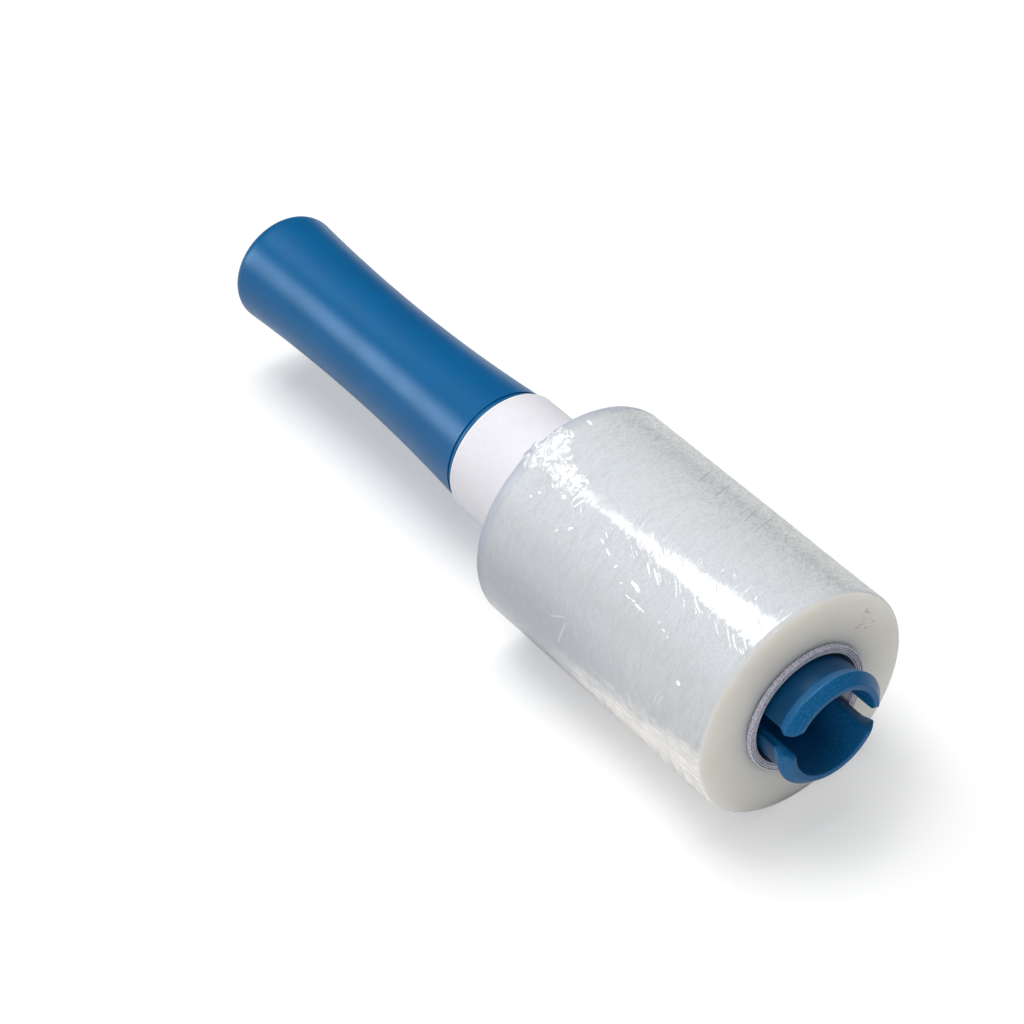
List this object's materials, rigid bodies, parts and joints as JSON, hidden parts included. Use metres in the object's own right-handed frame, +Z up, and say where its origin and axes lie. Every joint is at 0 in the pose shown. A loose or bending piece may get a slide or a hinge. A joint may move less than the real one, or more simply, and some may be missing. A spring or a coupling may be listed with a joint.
{
  "type": "stretch wrap roll",
  "caption": "Narrow roll of clear stretch film on a cardboard core, which turns on a waisted one-piece plastic handle with a split snap tip.",
  "frame": {"origin": "on the surface that the roll lies on, under the middle of the overall length", "axes": "+X along the roll's axis towards the handle's split snap tip, +Z up, the film's flat spot faces -Z"},
  "size_m": [0.2656, 0.0726, 0.0723],
  "materials": {
    "handle_plastic": "satin moulded mid-blue plastic",
    "core_board": "smooth white paper face on a spiral-wound tube",
    "stretch_film": "glossy clear film, milky in the wound thickness"
  },
  "bodies": {
    "handle": {"handle": "handle_plastic"},
    "roll": {"core": "core_board", "film_roll": "stretch_film"}
  },
  "joints": [
    {"name": "roll_spin", "type": "hinge", "parent": "handle", "child": "roll", "pos_m": [0, 0, 0.036], "axis": [1, 0, 0], "continuous": true}
  ]
}
